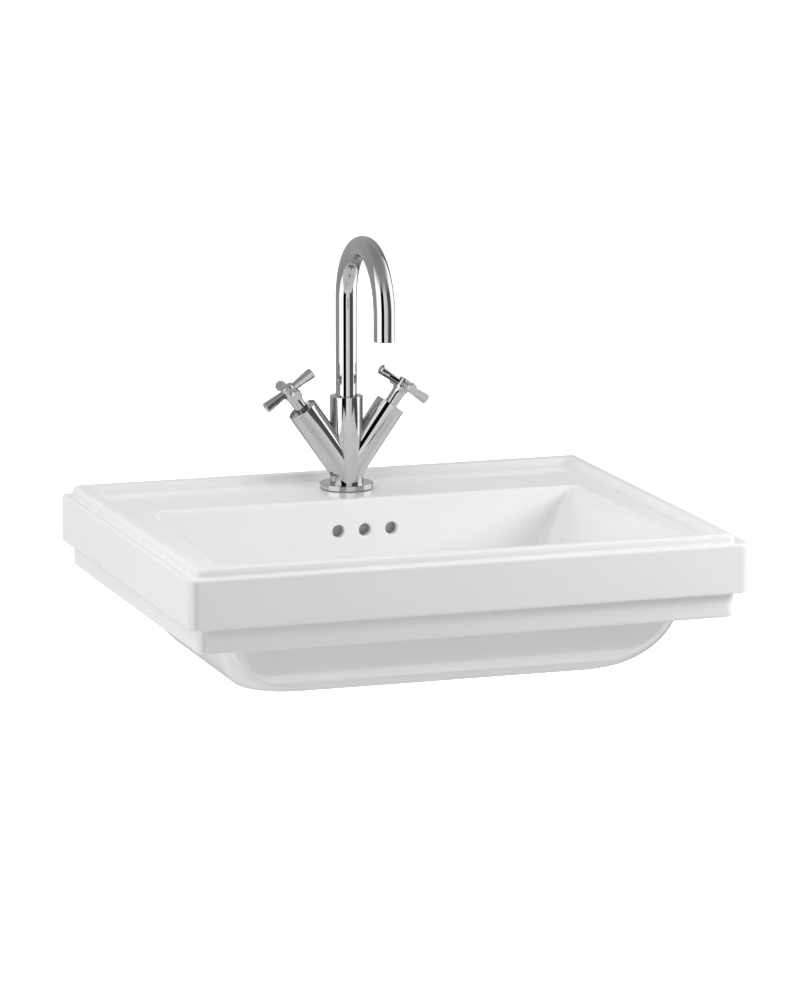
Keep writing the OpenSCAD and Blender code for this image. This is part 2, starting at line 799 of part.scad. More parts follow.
module plug_cap() {
    color(chrome_colour) translate([0, waste_y, plug_z]) difference() {
        union() {
            cylinder(d = waste_flange_d - 2, h = plug_t - 2);
            translate([0, 0, plug_t - 2]) cylinder(d1 = waste_flange_d - 2, d2 = waste_flange_d - 14, h = 2);
            translate([0, 0, -spigot_h]) cylinder(r = spigot_r, h = spigot_h);
        }
        translate([0, 0, -4.4]) tube(spigot_r + cut, spigot_r - 1.8, 2.8);
        translate([0, 0, -spigot_h - cut]) cylinder(r = stem_r, h = 3 + cut);
    }
}

module plug_seal_ring() {
    color(rubber_colour) translate([0, waste_y, plug_z - 4.4]) tube(plug_ring_r, spigot_r - 1.8, 2.8);
}

basin();
tap_body();
base_flange();
base_gasket();
spout();
spout_bush();
spout_o_rings();
spout_stop_screw();
aerator_housing();
aerator_screen();
aerator_washer();
cartridge_body(left);  // left_cartridge_body
cartridge_body(right);  // right_cartridge_body
cartridge_seal(left);  // left_cartridge_seal
cartridge_seal(right);  // right_cartridge_seal
fixed_disc(left);  // left_fixed_disc
fixed_disc(right);  // right_fixed_disc
moving_disc(left);  // left_moving_disc
moving_disc(right);  // right_moving_disc
spindle(left);  // left_spindle
spindle(right);  // right_spindle
spindle_o_ring(left);  // left_spindle_o_ring
spindle_o_ring(right);  // right_spindle_o_ring
bonnet(left);  // left_bonnet
bonnet(right);  // right_bonnet
handle_neck(left);  // left_handle_neck
handle_neck(right);  // right_handle_neck
cross_handle(left);  // left_cross_handle
cross_handle(right);  // right_cross_handle
handle_screw(left);  // left_handle_screw
handle_screw(right);  // right_handle_screw
index_cap(left);  // left_index_cap
index_cap(right);  // right_index_cap
mounting_stud();
clamp_gasket();
clamp_plate();
stud_nut();
waste_body();
waste_top_seal();
waste_bottom_seal();
waste_slip_washer();
waste_backnut();
click_guide();
plug_spring();
plug_stem();
plug_cap();
plug_seal_ring();
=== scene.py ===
"""Looks for the washbasin and its mixer tap: smooth ceramic and chrome, studio light and camera."""

import json
from math import asin, atan2, cos, pi, radians, sin, sqrt, tan

import bmesh
import bpy
from mathutils import Matrix, Vector

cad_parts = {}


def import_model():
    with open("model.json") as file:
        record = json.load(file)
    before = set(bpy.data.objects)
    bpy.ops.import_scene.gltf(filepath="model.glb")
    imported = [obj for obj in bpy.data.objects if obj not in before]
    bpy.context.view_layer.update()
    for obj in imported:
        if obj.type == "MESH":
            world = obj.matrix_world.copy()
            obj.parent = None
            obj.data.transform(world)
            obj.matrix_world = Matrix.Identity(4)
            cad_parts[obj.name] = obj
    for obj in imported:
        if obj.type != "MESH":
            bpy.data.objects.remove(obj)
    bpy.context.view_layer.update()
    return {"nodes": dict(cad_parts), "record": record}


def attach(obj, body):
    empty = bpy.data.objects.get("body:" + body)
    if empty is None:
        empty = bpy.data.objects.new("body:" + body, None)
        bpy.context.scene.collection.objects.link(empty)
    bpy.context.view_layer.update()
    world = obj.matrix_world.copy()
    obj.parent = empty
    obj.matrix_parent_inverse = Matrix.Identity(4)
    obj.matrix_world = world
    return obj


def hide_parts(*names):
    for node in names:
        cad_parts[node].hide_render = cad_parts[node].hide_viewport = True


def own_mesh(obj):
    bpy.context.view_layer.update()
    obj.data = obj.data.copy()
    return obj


# Shapes are built in millimetres in the row frame and scaled once, in finish_piece.
MM = 0.001
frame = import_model()

# ---- basin sizes ----
HALF_W = 290
DEPTH = 470
BACK_R = 1.0
BAND_R = 12
DECK_Z = 85
BAND_Z = 35
STEP_Z = 9
RIM_Z = 93
RIM_INSET = 11.5
STEP_INSET = 12
RIM_W = 12
COVE_R = 11
RIM_EDGE = 2
INNER_R = 8
FLOOR_Z = -43
TUB_Z = -55
BOSS_Z = -62
MOUTH_EDGE = 4.5
CORNER = 12
RUNS = (16, 30, 16, 30)
TUB_TOP = (240, 110, 413)  # half width, and distances of back and front from the wall
TUB_FOOT = (192, 125, 367)
TUB_TOP_R, TUB_FOOT_R = 20, 47
TUB_FLARE = 4
MOUTH_R, WELL_R = 10, 60
PANEL_HW, PANEL_Z = 212, -38
SPINE_HW, SPINE_BACK = 50, -98
DUCT_HW, DUCT_Y = 42, -116
DUCT_ROOF_Z, DUCT_FLOOR_Z = -50, -56
BAY_HW = 201
BOLT_X, BOLT_R = 140, 7
TAP_HOLE_R = 17.5
WASTE_HOLE_R, WASTE_RECESS_R = 23, 33.5
OVERFLOW_X, OVERFLOW_R = 28.7, 6.35
OVERFLOW_LEAN = radians(1.7)

# ---- tap sizes ----
TAP_Y = -62
ARM_Z = 102
ARM_LEAN = radians(35)
ARM_LEN = 84.5
FOOT_Z = 85.8
COLUMN_Z = 183
SPRING_Z = 284
OUTLET_Z = 258.5
ARC_R = 63
SPOUT_R = 11.15
CROSS_S = 109
WASTE_Y = -215
COLUMN_R, ARM_R = 17.25, 16
BUSH_R, THROAT_R = 13.5, 11.2
SPOUT_BORE_R, SPOUT_FOOT_BORE_R = 9.2, 8.0
STOP_Z = 169
SPRING_R, SPRING_WIRE_R, SPRING_TURNS = 4.6, 0.55, 5


# ---------------------------------------------------------------- mesh helpers

def link(name, bm):
    """Merges doubled points, turns the faces outwards and puts the mesh in the scene."""
    bmesh.ops.remove_doubles(bm, verts=bm.verts, dist=0.0005)
    bmesh.ops.recalc_face_normals(bm, faces=bm.faces)
    mesh = bpy.data.meshes.new(name)
    bm.to_mesh(mesh)
    bm.free()
    obj = bpy.data.objects.new(name, mesh)
    bpy.context.scene.collection.objects.link(obj)
    return obj


def bake(obj):
    """Replaces obj's mesh by what its modifiers make of it."""
    bpy.context.view_layer.update()
    mesh = bpy.data.meshes.new_from_object(obj.evaluated_get(bpy.context.evaluated_depsgraph_get()))
    obj.modifiers.clear()
    obj.data = mesh
    return obj


def combine(obj, others, operation):
    """Exact union or difference of obj with each of the others, which are used up."""
    for other in others:
        modifier = obj.modifiers.new("combine", "BOOLEAN")
        modifier.operation = operation
        modifier.solver = "EXACT"
        modifier.object = other
        bake(obj)
        bpy.data.objects.remove(other)
    return obj


def corner_arc(before, at, after, radius):
    """The points of a fillet of that radius at a corner of a flat outline."""
    a, b = (before - at).normalized(), (after - at).normalized()
    half = a.angle(b) / 2
    centre = at + (a + b).normalized() * radius / sin(half)
    start, end = at + a * radius / tan(half) - centre, at + b * radius / tan(half) - centre
    angle = atan2(start.y, start.x)
    turn = (atan2(end.y, end.x) - angle + pi) % (2 * pi) - pi
    steps = max(3, round(abs(turn) / radians(15)))
    return [centre + radius * Vector((cos(angle + turn * k / steps), sin(angle + turn * k / steps)))
            for k in range(steps + 1)]


def rounded(corners, closed=True):
    """An outline of (r, z) or (r, z, fillet) corners, with its fillets drawn."""
    flat = [Vector(c[:2]) for c in corners]
    out = []
    for i, corner in enumerate(corners):
        end = not closed and i in (0, len(corners) - 1)
        if len(corner) < 3 or end:
            out.append(flat[i])
        else:
            out += corner_arc(flat[i - 1], flat[i], flat[(i + 1) % len(flat)], corner[2])
    return out


def spin(name, corners, place=Matrix(), segments=96):
    """A solid of revolution about z from a closed outline of (r, z[, fillet]) corners."""
    bm = bmesh.new()
    rings = []
    for p in rounded(corners):
        if p.x < 0.001:
            rings.append([bm.verts.new(place @ Vector((0, 0, p.y)))] * segments)
        else:
            rings.append([bm.verts.new(place @ Vector((p.x * cos(a), p.x * sin(a), p.y)))
                          for a in (2 * pi * k / segments for k in range(segments))])
    for i, ring in enumerate(rings):
        following = rings[(i + 1) % len(rings)]
        for k in range(segments):
            n = (k + 1) % segments
            quad = [ring[k], ring[n], following[n], following[k]]
            face = [v for j, v in enumerate(quad) if v is not quad[j - 1]]
            if len(face) > 2:
                bm.faces.new(face)
    return link(name, bm)


def bridge(bm, low, high):
    """Joins two rings with the same number of points by a band of faces."""
    for k in range(len(low)):
        n = (k + 1) % len(low)
        bm.faces.new([low[k], low[n], high[n], high[k]])


def prism(name, low, high, radius=0.0, steps=4, axes=(2,)):
    """A box between two corners, with the edges along the given axes rounded."""
    bm = bmesh.new()
    corners = [[bm.verts.new((x, y, z)) for x, y in
                ((low[0], low[1]), (high[0], low[1]), (high[0], high[1]), (low[0], high[1]))]
               for z in (low[2], high[2])]
    bm.faces.new(corners[0])
    bm.faces.new(corners[1])
    bridge(bm, *corners)
    if radius:
        edges = [e for e in bm.edges
                 if any(abs((e.verts[0].co - e.verts[1].co)[axis]) > 0.01 for axis in axes)]
        bmesh.ops.bevel(bm, geom=edges, offset=radius, segments=steps, affect="EDGES", profile=0.5)
    return link(name, bm)


def loft(name, rings):
    """A closed solid through rings with the same number of points, capped at both ends."""
    bm = bmesh.new()
    made = [[bm.verts.new(p) for p in ring] for ring in rings]
    for low, high in zip(made, made[1:]):
        bridge(bm, low, high)
    bm.faces.new(made[0])
    bm.faces.new(made[-1])
    return link(name, bm)


# ---------------------------------------------------------------- materials

def node_material(name):
    """An empty node material with one shader."""
    material = bpy.data.materials.new(name)
    material.use_nodes = True
    tree = material.node_tree
    tree.nodes.clear()
    out = tree.nodes.new("ShaderNodeOutputMaterial")
    shader = tree.nodes.new("ShaderNodeBsdfPrincipled")
    tree.links.new(shader.outputs[0], out.inputs[0])
    return material, tree, shader


def noise(tree, scale, detail=3.0, stretch=(1, 1, 1)):
    """Noise on the piece's own coordinates, in the row frame."""
    where = tree.nodes.new("ShaderNodeTexCoord")
    mapping = tree.nodes.new("ShaderNodeMapping")
    mapping.inputs["Scale"].default_value = stretch
    texture = tree.nodes.new("ShaderNodeTexNoise")
    texture.inputs["Scale"].default_value = scale
    texture.inputs["Detail"].default_value = detail
    tree.links.new(where.outputs["Object"], mapping.inputs["Vector"])
    tree.links.new(mapping.outputs[0], texture.inputs["Vector"])
    return texture.outputs["Fac"]


def ramp(tree, value, stops):
    """A colour ramp; each stop is (place, grey) or (place, (r, g, b))."""
    node = tree.nodes.new("ShaderNodeValToRGB")
    elements = node.color_ramp.elements
    while len(elements) < len(stops):
        elements.new(0.5)
    for element, (place, colour) in zip(elements, stops):
        element.position = place
        grey = isinstance(colour, (int, float))
        element.color = (*((colour,) * 3 if grey else colour), 1)
    tree.links.new(value, node.inputs[0])
    return node.outputs[0]


def bump(tree, shader, height, strength, distance):
    """A fine relief on the surface, from a height."""
    node = tree.nodes.new("ShaderNodeBump")
    node.inputs["Strength"].default_value = strength
    node.inputs["Distance"].default_value = distance
    tree.links.new(height, node.inputs["Height"])
    tree.links.new(node.outputs[0], shader.inputs["Normal"])


def glaze_material():
    """White glaze with slow waves and faint specks, and bare rough ceramic on the wall face."""
    material, tree, shader = node_material("glaze")
    tone = ramp(tree, noise(tree, 9, 4), [(0.3, (0.876, 0.875, 0.874)), (0.7, (0.896, 0.894, 0.893))])
    specks = ramp(tree, noise(tree, 420, 2), [(0.70, 0.0), (0.78, 1.0)])
    where = tree.nodes.new("ShaderNodeTexCoord")
    split = tree.nodes.new("ShaderNodeSeparateXYZ")
    tree.links.new(where.outputs["Object"], split.inputs[0])
    wall = tree.nodes.new("ShaderNodeMath")
    wall.operation = "GREATER_THAN"
    wall.inputs[1].default_value = -0.0004
    tree.links.new(split.outputs["Y"], wall.inputs[0])
    speckled = tree.nodes.new("ShaderNodeMix")
    speckled.data_type = "RGBA"
    speckled.inputs["B"].default_value = (0.80, 0.80, 0.79, 1)
    tree.links.new(specks, speckled.inputs["Factor"])
    tree.links.new(tone, speckled.inputs["A"])
    bare = ramp(tree, noise(tree, 140, 6), [(0.3, (0.60, 0.585, 0.56)), (0.7, (0.70, 0.685, 0.66))])
    colour = tree.nodes.new("ShaderNodeMix")
    colour.data_type = "RGBA"
    tree.links.new(wall.outputs[0], colour.inputs["Factor"])
    tree.links.new(speckled.outputs["Result"], colour.inputs["A"])
    tree.links.new(bare, colour.inputs["B"])
    tree.links.new(colour.outputs["Result"], shader.inputs["Base Color"])
    gloss = ramp(tree, noise(tree, 30, 3), [(0.3, 0.10), (0.7, 0.17)])
    rough = tree.nodes.new("ShaderNodeMix")
    tree.links.new(wall.outputs[0], rough.inputs["Factor"])
    tree.links.new(gloss, rough.inputs["A"])
    rough.inputs["B"].default_value = 0.85
    tree.links.new(rough.outputs["Result"], shader.inputs["Roughness"])
    shader.inputs["IOR"].default_value = 1.5
    bump(tree, shader, noise(tree, 11, 1), 0.12, 0.0012)
    return material


def metal_material(name, dark, light, rough, grain, stretch=(1, 1, 1), depth=0.00002):
    """A metal: two close colours and two close roughnesses, mixed by noise that may run one way."""
    material, tree, shader = node_material(name)
    shader.inputs["Metallic"].default_value = 1.0
    tone = ramp(tree, noise(tree, grain / 8, 3), [(0.3, dark), (0.7, light)])
    tree.links.new(tone, shader.inputs["Base Color"])
    tree.links.new(ramp(tree, noise(tree, grain, 4, stretch), [(0.3, rough[0]), (0.7, rough[1])]),
                   shader.inputs["Roughness"])
    bump(tree, shader, noise(tree, grain, 2, stretch), 0.15, depth)
    return material


def plain_material(name, dark, light, rough, grain, depth):
    """Anything but metal: two close colours and two close roughnesses, mixed by noise."""
    material, tree, shader = node_material(name)
    tone = ramp(tree, noise(tree, grain, 5), [(0.3, dark), (0.7, light)])
    tree.links.new(tone, shader.inputs["Base Color"])
    tree.links.new(ramp(tree, noise(tree, grain / 3, 3), [(0.3, rough[0]), (0.7, rough[1])]),
                   shader.inputs["Roughness"])
    bump(tree, shader, noise(tree, grain * 2, 3), 0.2, depth)
    return material


GLAZE = glaze_material()
CHROME = metal_material("chrome", (0.545, 0.55, 0.555), (0.595, 0.60, 0.605), (0.015, 0.04), 260)
BRASS = metal_material("brass", (0.62, 0.44, 0.20), (0.74, 0.55, 0.28), (0.22, 0.38), 300)
STEEL = metal_material("steel", (0.50, 0.50, 0.51), (0.62, 0.62, 0.63), (0.24, 0.42), 500, (1, 1, 0.08))
RUBBER = plain_material("rubber", (0.016, 0.016, 0.017), (0.032, 0.032, 0.033), (0.55, 0.8), 240, 0.0001)
NYLON = plain_material("nylon", (0.62, 0.62, 0.60), (0.70, 0.70, 0.68), (0.32, 0.5), 160, 0.00005)
DISC = plain_material("disc", (0.66, 0.64, 0.58), (0.74, 0.72, 0.67), (0.12, 0.25), 200, 0.00002)
MATERIALS = {"glaze": GLAZE, "chrome": CHROME, "brass": BRASS, "steel": STEEL, "rubber": RUBBER,
             "nylon": NYLON, "disc": DISC}


def finish_piece(obj, body, slot, nodes, angle=32):
    """Scales a piece to metres, smooths it, and ties it to its body, slot and CAD nodes."""
    mesh = obj.data
    mesh.transform(Matrix.Scale(MM, 4))
    mesh.materials.clear()
    mesh.materials.append(MATERIALS[slot])
    mesh.shade_smooth()
    mesh.set_sharp_from_angle(angle=radians(angle))
    weighted = obj.modifiers.new("normals", "WEIGHTED_NORMAL")
    weighted.keep_sharp = True
    weighted.mode = "FACE_AREA_WITH_ANGLE"
    bake(obj)
    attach(obj, body)
    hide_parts(*nodes)
    return obj


# ---------------------------------------------------------------- basin

def ring(z, back_hw, front_hw, back, front, back_r, front_r):
    """One four-cornered ring of points at height z; back and front are distances from the wall."""
    arcs = [[Vector((x + r * cos(a), y + r * sin(a), z))
             for a in (radians(start + 90 * k / CORNER) for k in range(CORNER + 1))]
            for x, y, r, start in ((front_hw - front_r, front_r - front, front_r, -90),
                                   (back_hw - back_r, -back - back_r, back_r, 0),
                                   (back_r - back_hw, -back - back_r, back_r, 90),
                                   (front_r - front_hw, front_r - front, front_r, 180))]
    out = []
    for i, arc in enumerate(arcs):
        following = arcs[(i + 1) % 4][0]
        out += arc + [arc[-1].lerp(following, k / RUNS[i]) for k in range(1, RUNS[i])]
    return out


def mix(a, b, share):
    """The value that lies at that share of the way from a to b."""
    return a + (b - a) * share


def blend_out(depth, reach, radius):
    """How far a wall flares out near a flat face, at that depth below it."""
    u = min(1.0, max(0.0, depth / reach))
    return radius * (1 - sqrt(1 - (1 - u) ** 2))


def tub_ring(t):
    """The tub's outside, from its foot at t = 0 to the ledge at t = 1."""
    wide, deep = sin(radians(90 * t)) ** 1.25, cos(radians(90 * t)) ** 1.25
    z = mix(STEP_Z + 1, TUB_Z, deep)
    flare = blend_out(STEP_Z - z, TUB_FLARE, TUB_FLARE)
    hw, back, front = (mix(foot, top, wide) for foot, top in zip(TUB_FOOT, TUB_TOP))
    r = mix(TUB_FOOT_R, TUB_TOP_R, wide) + flare
    return ring(min(z, STEP_Z), hw + flare, hw + flare, back - flare, front + flare, r, r)


def tub_ring_at_ledge():
    """The last ring of the tub, flared where it meets the ledge."""
    hw, back, front = TUB_TOP
    r = TUB_TOP_R + TUB_FLARE
    return ring(STEP_Z, hw + TUB_FLARE, hw + TUB_FLARE, back - TUB_FLARE, front + TUB_FLARE, r, r)


def bowl_ring(z):
    """The bowl's wall at height z, with a rounded edge where it meets the deck."""
    deep = (DECK_Z - z) / (DECK_Z - FLOOR_Z)
    wide = max(0.0, 1 - deep ** 2.1) ** (1 / 2.1)
    flare = blend_out(DECK_Z - z, MOUTH_EDGE, MOUTH_EDGE)
    r = mix(MOUTH_R, WELL_R, deep ** 2) + flare
    return ring(z, mix(231, 186, deep ** 0.75) + flare, mix(196, 236.5, wide) + flare,
                mix(140, 124, wide) - flare, mix(370, 406, wide) + flare, r, r)


def casting_profile():
    """(inset, z, corner radius) round the outside, from the ledge's underside to the deck."""
    points = rounded([(60, STEP_Z), (STEP_INSET, STEP_Z, 3), (STEP_INSET, BAND_Z + 0.3, 2),
                      (0, BAND_Z, 2.5), (0, DECK_Z, 3), (RIM_INSET, DECK_Z + 0.15, 1.6),
                      (RIM_INSET, RIM_Z, 4.5), (60, RIM_Z)], closed=False)[1:-1]
    edge = RIM_INSET + RIM_W + COVE_R
    centre_x = edge - sqrt((COVE_R + RIM_EDGE) ** 2 - (DECK_Z + COVE_R - RIM_Z + RIM_EDGE) ** 2)
    centre_z = RIM_Z - RIM_EDGE
    lean = asin((DECK_Z + COVE_R - centre_z) / (COVE_R + RIM_EDGE))
    for k in range(7):
        a = mix(pi / 2, lean, k / 6)
        points.append(Vector((centre_x + RIM_EDGE * cos(a), centre_z + RIM_EDGE * sin(a))))
    for k in range(1, 11):
        a = mix(pi + lean, 1.5 * pi, k / 10)
        points.append(Vector((edge + COVE_R * cos(a), DECK_Z + COVE_R + COVE_R * sin(a))))
    return points


def casting_ring(inset, z):
    """The casting's outline at that inset from the band and that height."""
    back = inset - RIM_INSET if z > DECK_Z - 0.5 and inset > RIM_INSET + 5 else 0.0
    front_r = BAND_R if z > BAND_Z - 0.4 and inset < 6 else BAND_R - 2
    if z > DECK_Z + 0.1 or inset > 6 and z > DECK_Z - 1:
        front_r = BAND_R - 3 if inset < RIM_INSET + 5 else INNER_R
    return ring(z, HALF_W - inset, HALF_W - inset, back, DEPTH - inset,
                BACK_R if back == 0 else INNER_R, front_r)


def basin():
    """The ceramic casting, with its hollows and holes."""
    rings = [tub_ring(k / 20) for k in range(21)]
    rings = [r for r in rings if r[0].z < STEP_Z - 0.01]
    rings += [tub_ring_at_ledge()]
    rings += [casting_ring(p.x, p.y) for p in casting_profile()]
    levels = [DECK_Z - MOUTH_EDGE * (1 - cos(radians(15 * k))) for k in range(7)]
    levels += [DECK_Z - MOUTH_EDGE - (DECK_Z - MOUTH_EDGE - FLOOR_Z) * sin(radians(90 * k / 26))
               for k in range(1, 27)]
    rings += [bowl_ring(z) for z in levels]
    body = loft("basin_looks", rings)

    panel = prism("panel", (-PANEL_HW, -111, PANEL_Z), (PANEL_HW, 0, STEP_Z + 6), 3, 4, (2,))
    spine = prism("spine", (-SPINE_HW, DUCT_Y, BOSS_Z), (SPINE_HW, SPINE_BACK, DECK_Z - 6))
    casing = prism("casing", (-SPINE_HW, WASTE_Y, BOSS_Z), (SPINE_HW, SPINE_BACK, TUB_Z + 2))
    boss = spin("boss", [(0, BOSS_Z), (SPINE_HW, BOSS_Z, 2.5), (SPINE_HW, TUB_Z + 6), (0, TUB_Z + 6)],
                Matrix.Translation((0, WASTE_Y, 0)))
    combine(body, [panel, spine, casing, boss], "UNION")

    bay = prism("bay", (-BAY_HW, SPINE_BACK, -60), (BAY_HW, -12, 73), 6, 5, (0, 1, 2))
    cutters = [bay]
    for x in (-BOLT_X, BOLT_X):
        place = Matrix.Translation((x, 0, 0)) @ Matrix.Rotation(radians(-90), 4, "X")
        cutters.append(spin("bolt", [(0, -14), (BOLT_R, -14), (BOLT_R, -1), (BOLT_R + 1, 0),
                                     (BOLT_R + 1, 1), (0, 1)], place, 48))
    cutters.append(spin("tap_hole", [(0, 70), (TAP_HOLE_R, 70), (TAP_HOLE_R, DECK_Z, 1.5), (30, DECK_Z),
                                     (30, 90), (0, 90)], Matrix.Translation((0, TAP_Y, 0)), 64))
    seat_z = FLOOR_Z - 4
    cutters.append(spin("waste_hole", [(0, -70), (WASTE_HOLE_R, -70), (WASTE_HOLE_R, seat_z),
                                       (WASTE_RECESS_R, seat_z, 1), (WASTE_RECESS_R, FLOOR_Z, 1.5),
                                       (45, FLOOR_Z), (45, -20), (0, -20)],
                        Matrix.Translation((0, WASTE_Y, 0))))
    cutters.append(prism("duct", (-DUCT_HW, DUCT_Y, DUCT_FLOOR_Z), (DUCT_HW, -110, 64.7)))
    cutters.append(prism("duct_floor", (-DUCT_HW, WASTE_Y, DUCT_FLOOR_Z), (DUCT_HW, -115, DUCT_ROOF_Z)))
    for x in (-OVERFLOW_X, 0, OVERFLOW_X):
        mouth = (Matrix.Translation((x, -124.45, 52))
                 @ Matrix.Rotation(radians(90) - OVERFLOW_LEAN, 4, "X"))
        cutters.append(spin("overflow", [(0, -10), (OVERFLOW_R, -10), (OVERFLOW_R, 0, 2), (12, 0),
                                         (12, 3), (0, 3)], mouth, 64))
    combine(body, cutters, "DIFFERENCE")
    return finish_piece(body, "fixed", "glaze", ["basin"], 28)


# ---------------------------------------------------------------- tap

def arm(side, s=0.0):
    """A frame on a valve arm: z runs outwards from the column's axis, from s along it."""
    return (Matrix.Translation((0, TAP_Y, ARM_Z)) @ Matrix.Rotation(side * ARM_LEAN, 4, "Y")
            @ Matrix.Translation((0, 0, s)))


COLUMN = Matrix.Translation((0, TAP_Y, 0))


def tap_body():
    """The column and the two leaning arms, hollowed for what sits inside them."""
    column = spin("tap_body_looks", [(0, FOOT_Z), (COLUMN_R, FOOT_Z), (COLUMN_R, COLUMN_Z, 0.8),
                                     (0, COLUMN_Z)], COLUMN, 128)
    arms = [spin("arm", [(0, 0), (ARM_R, 0), (ARM_R, ARM_LEN, 0.6), (0, ARM_LEN)], arm(side), 128)
            for side in (-1, 1)]
    combine(column, arms, "UNION")
    outline = [(0, 119), (7, 119), (7, 143), (THROAT_R, 143)]
    for low, high in ((151, 153.4), (155.5, 157.9), (159, 178)):
        outline += [(THROAT_R, low), (BUSH_R, low), (BUSH_R, high), (THROAT_R, high)]
    outline += [(THROAT_R, 182.5), (11.8, 183.2), (11.8, 190), (0, 190)]
    bores = [spin("bore", outline, COLUMN, 96)]
    for side in (-1, 1):
        bores.append(spin("cavity", [(0, 44), (12.3, 44), (12.3, 78.5), (14.3, 78.5), (14.3, 84), (15, 84.8),
                                     (15, 90), (0, 90)], arm(side), 96))
        bores.append(spin("inlet", [(0, 80), (4.6, 80), (4.6, 97.8), (0, 97.8)],
                          Matrix.Translation((side * 7.5, TAP_Y + 4, 0)), 48))
    bores.append(spin("stud_hole", [(0, 80), (4, 80), (4, 97.8), (0, 97.8)],
                      Matrix.Translation((0, TAP_Y - 9.5, 0)), 32))
    bores.append(spin("stop_hole", [(0, 0), (2.5, 0), (2.5, 30), (0, 30)],
                      Matrix.Translation((0, TAP_Y, STOP_Z)) @ Matrix.Rotation(radians(-90), 4, "X"), 32))
    combine(column, bores, "DIFFERENCE")
    finish_piece(column, "fixed", "chrome", ["tap_body"], 30)
    finish_piece(spin("base_flange_looks", [(17.3, FOOT_Z), (28, FOOT_Z, 0.3), (28, FOOT_Z + 5.5, 0.9),
                                            (17.3, FOOT_Z + 5.5, 0.3)], COLUMN, 128),
                 "fixed", "chrome", ["base_flange"])


def spout():
    """The swan neck: straight, half circle, straight, with a bore and the stop's groove."""
    path = [(Vector((0, TAP_Y, z)), Vector((0, 0, 1))) for z in (147, 160, 175, 183, 210, 240, 265, 280)]
    for k in range(73):
        a = pi * k / 72
        path.append((Vector((0, TAP_Y - ARC_R + ARC_R * cos(a), SPRING_Z + ARC_R * sin(a))),
                     Vector((0, -sin(a), cos(a)))))
    outlet = TAP_Y - 2 * ARC_R
    down = Vector((0, 0, -1))
    path += [(Vector((0, outlet, z)), down) for z in (282, 275, 267, OUTLET_Z + 1)]
    walls = [(p, d, SPOUT_R) for p, d in path]
    walls += [(Vector((0, outlet, OUTLET_Z + 0.6 * (1 - sin(a)))), down, SPOUT_R - 0.6 * (1 - cos(a)))
              for a in (radians(15 * k) for k in range(7))]
    walls += [(Vector((0, outlet, OUTLET_Z)), down, SPOUT_BORE_R + 0.2),
              (Vector((0, outlet, OUTLET_Z + 0.2)), down, SPOUT_BORE_R)]
    walls += [(p, d, SPOUT_BORE_R if p.z > 185 or p.y < TAP_Y - 1 else SPOUT_FOOT_BORE_R)
              for p, d in reversed(path)]
    bm = bmesh.new()
    segments = 96
    rings = []
    for p, d, r in walls:
        side = Vector((1, 0, 0))
        up = d.cross(side)
        rings.append([bm.verts.new(p + r * (side * cos(a) + up * sin(a)))
                      for a in (2 * pi * k / segments for k in range(segments))])
    for i, low in enumerate(rings):
        bridge(bm, low, rings[(i + 1) % len(rings)])
    tube = link("spout_looks", bm)

    groove = bmesh.new()
    half = radians(60 + 11.9)
    sector = []
    for k in range(49):
        a = pi / 2 - half + 2 * half * k / 48
        sector.append([groove.verts.new((r * cos(a), TAP_Y + r * sin(a), z))
                       for r, z in ((9.8, STOP_Z - 2.4), (20, STOP_Z - 2.4),
                                    (20, STOP_Z + 2.4), (9.8, STOP_Z + 2.4))])
    for a, b in zip(sector, sector[1:]):
        bridge(groove, a, b)
    groove.faces.new(sector[0])
    groove.faces.new(sector[-1])
    combine(tube, [link("groove", groove)], "DIFFERENCE")
    finish_piece(tube, "spout", "chrome", ["spout"])


def spoke(angle):
    """One eight-sided spoke that widens towards a chamfered tip."""
    bm = bmesh.new()
    rings = []
    for s, flats in ((0, 6.5), (29.7, 11), (31, 8.4)):
        r = flats / 2 / cos(radians(22.5))
        rings.append([bm.verts.new((s, r * cos(radians(22.5 + 45 * k)), r * sin(radians(22.5 + 45 * k))))
                      for k in range(8)])
    for low, high in zip(rings, rings[1:]):
        bridge(bm, low, high)
    bm.faces.new(rings[0])
    bm.faces.new(rings[-1])
    bmesh.ops.bevel(bm, geom=[e for e in bm.edges if max(v.co.x for v in e.verts) > 1],
                    offset=0.25, segments=2, affect="EDGES", profile=0.5)
    bmesh.ops.transform(bm, matrix=Matrix.Rotation(radians(angle), 4, "Z"), verts=bm.verts)
    return link("spoke", bm)


def handle(side, name):
    """A cross handle with its neck and cap, and the bonnet it turns in."""
    body = name + "_handle"
    cross = spin(name + "_cross_looks", [(0, -5.6), (7.2, -5.6, 0.3), (7.2, 5.6, 0.8), (0, 5.6)], segments=96)
    combine(cross, [spoke(a) for a in (0, 90, 180, 270)], "UNION")
    bores = [spin("bore", [(0, -8), (3.6, -8), (3.6, 1.2), (3.6, 3.9), (5.5, 3.9), (5.5, 5.5), (5.7, 5.8),
                           (5.7, 8), (0, 8)], segments=64)]
    combine(cross, bores, "DIFFERENCE")
    cross.data.transform(arm(side, CROSS_S))
    finish_piece(cross, body, "chrome", [name + "_cross_handle"], 30)

    neck = spin(name + "_neck_looks", [(3.7, 82.9), (6.9, 82.9, 0.3), (6.9, 99.2, 12), (9.0, 104.6),
                                       (9.0, 105.2), (3.7, 105.2)], arm(side), 96)
    finish_piece(neck, body, "chrome", [name + "_handle_neck"])
    cap = spin(name + "_cap_looks", [(0, 113.0), (5.4, 113.0), (5.4, 114.6, 0.5), (4.6, 115.15, 2),
                                     (0, 115.2)], arm(side), 64)
    finish_piece(cap, body, "chrome", [name + "_index_cap"])
    bonnet = spin(name + "_bonnet_looks", [(5, 78.5), (14.2, 78.5), (14.2, 82.5, 0.5), (5, 82.5, 0.4)],
                  arm(side), 96)
    finish_piece(bonnet, "fixed", "chrome", [name + "_bonnet"])


